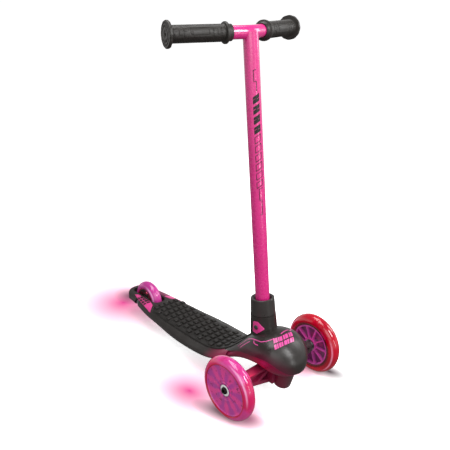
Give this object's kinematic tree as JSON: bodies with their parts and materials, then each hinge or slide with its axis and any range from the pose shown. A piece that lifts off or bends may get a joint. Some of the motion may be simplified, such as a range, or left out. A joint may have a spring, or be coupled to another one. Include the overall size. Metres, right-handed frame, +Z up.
{
  "type": "kick scooter",
  "caption": "Lean-to-steer child's scooter: fixed T-bar in a locked socket, moulded deck with tread mat, sprung front truck, light-up front wheels and a rear wheel in the tail.",
  "frame": {"origin": "on the floor, under the middle of the whole length and width", "axes": "+X forwards, +Y to the rider's left, +Z up"},
  "size_m": [0.5231, 0.2908, 0.6708],
  "materials": {
    "deck_plastic": "fine-grained moulded satin",
    "tread_rubber": "matt moulded rubber",
    "grip_rubber": "matt ribbed rubber",
    "bush_rubber": "smooth urethane",
    "pink_paint": "gloss powder coat",
    "pink_trim": "satin",
    "button_plastic": "satin",
    "zinc_steel": "zinc plated",
    "spacer_steel": "turned",
    "nylon": "satin nylon",
    "magnet": "nickel plated",
    "bearing_steel": "polished with pale shields",
    "clear_tyre": "clear tinted cast urethane",
    "clear_tyre_rear": "clear tinted cast urethane",
    "core_plastic": "clear tinted",
    "core_dark": "satin",
    "cover_plastic": "gloss, half clear",
    "led_board": "lamps on a ring board"
  },
  "bodies": {
    "deck": {"deck_board": "deck_plastic", "nose_shell": "deck_plastic", "lock_collar": "deck_plastic", "grip_mat": "tread_rubber", "tail_inlay_right": "pink_trim", "tail_inlay_left": "pink_trim", "grip_right": "grip_rubber", "grip_left": "grip_rubber", "deck_screws": "zinc_steel", "kingpin": "zinc_steel", "kingpin_nut": "zinc_steel", "pivot_washer": "nylon", "steer_bushing": "bush_rubber", "stem_tube": "pink_paint", "stem_plug": "deck_plastic", "crossbar": "pink_paint", "bar_plugs": "deck_plastic", "snap_spring": "zinc_steel", "badge": "pink_trim", "rear_axle": "zinc_steel", "rear_nut": "zinc_steel", "rear_spacers": "spacer_steel", "rear_magnet": "magnet"},
    "truck": {"truck_hanger": "deck_plastic", "front_axle_right": "zinc_steel", "front_nut_right": "zinc_steel", "front_spacer_right": "spacer_steel", "front_magnet_right": "magnet", "front_axle_left": "zinc_steel", "front_nut_left": "zinc_steel", "front_spacer_left": "spacer_steel", "front_magnet_left": "magnet"},
    "wheel_front_right": {"front_tyre_right": "clear_tyre", "front_core_right": "core_plastic", "front_cover_right": "cover_plastic", "front_bearings_right": "bearing_steel", "front_led_right": "led_board"},
    "wheel_front_left": {"front_tyre_left": "clear_tyre", "front_core_left": "core_plastic", "front_cover_left": "cover_plastic", "front_bearings_left": "bearing_steel", "front_led_left": "led_board"},
    "wheel_rear": {"rear_tyre": "clear_tyre_rear", "rear_core": "core_dark", "rear_bearings": "bearing_steel", "rear_led": "led_board"},
    "snap_button": {"snap_button": "button_plastic"}
  },
  "joints": [
    {"name": "truck_steer", "type": "hinge", "parent": "deck", "child": "truck", "pos_m": [0.2165, 0, 0.03], "axis": [0.309, 0, 0.9511], "range_deg": [-16, 16], "stiffness_Nm_per_rad": 6},
    {"name": "front_right_spin", "type": "hinge", "parent": "truck", "child": "wheel_front_right", "pos_m": [0.1965, -0.113, 0.06], "axis": [0, 1, 0], "continuous": true},
    {"name": "front_left_spin", "type": "hinge", "parent": "truck", "child": "wheel_front_left", "pos_m": [0.1965, 0.113, 0.06], "axis": [0, 1, 0], "continuous": true},
    {"name": "rear_spin", "type": "hinge", "parent": "deck", "child": "wheel_rear", "pos_m": [-0.2045, 0, 0.0415], "axis": [0, 1, 0], "continuous": true},
    {"name": "button_push", "type": "slide", "parent": "deck", "child": "snap_button", "axis": [-0.1908, 0.9816, 0], "range_m": [0, 0.004], "stiffness_N_per_m": 400}
  ]
}
